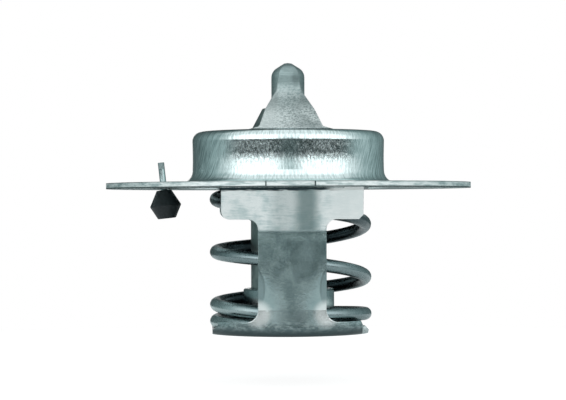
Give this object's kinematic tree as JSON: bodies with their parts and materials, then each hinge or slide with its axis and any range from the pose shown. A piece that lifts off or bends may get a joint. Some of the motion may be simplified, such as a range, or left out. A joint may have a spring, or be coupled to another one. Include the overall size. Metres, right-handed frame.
{
  "type": "engine coolant valve with wax element",
  "caption": "Engine coolant temperature valve: flat flange with a domed seat and bridge, wax element, sprung valve disc, T-legged lower frame and bleed pin.",
  "frame": {"origin": "centre of the flange's underside, on the valve's axis", "axes": "+Z along the valve's axis from the legs to the nose, legs at -Y and +Y, bleed pin at -X"},
  "size_m": [0.057, 0.0569, 0.0422],
  "materials": {
    "plated_steel": "satin, zinc plated",
    "frame_steel": "mottled, galvanised",
    "spring_steel": "dark drawn wire",
    "pin_steel": "ground",
    "element_brass": "dull, tarnished",
    "black_rubber": "matte",
    "wax": "waxy",
    "white_plastic": "matte"
  },
  "bodies": {
    "housing": {"valve_body": "plated_steel", "lower_frame": "frame_steel", "piston_pin": "pin_steel", "main_spring": "spring_steel"},
    "element": {"valve_plate": "plated_steel", "valve_seal": "black_rubber", "element_case": "element_brass", "guide_bush": "element_brass", "elastomer_sleeve": "black_rubber", "wax_charge": "wax", "pin_seal": "black_rubber", "backup_washer": "white_plastic"},
    "bleeder": {"jiggle_pin": "pin_steel", "jiggle_plug": "black_rubber"}
  },
  "joints": [
    {"name": "valve_lift", "type": "slide", "parent": "housing", "child": "element", "axis": [0, 0, -1], "range_m": [0, 0.008], "stiffness_N_per_m": 8000, "springref_m": -0.009, "deforming": ["main_spring"]},
    {"name": "jiggle_slide", "type": "slide", "parent": "housing", "child": "bleeder", "axis": [0.1045, 0, -0.9945], "range_m": [0, 0.0021]}
  ]
}
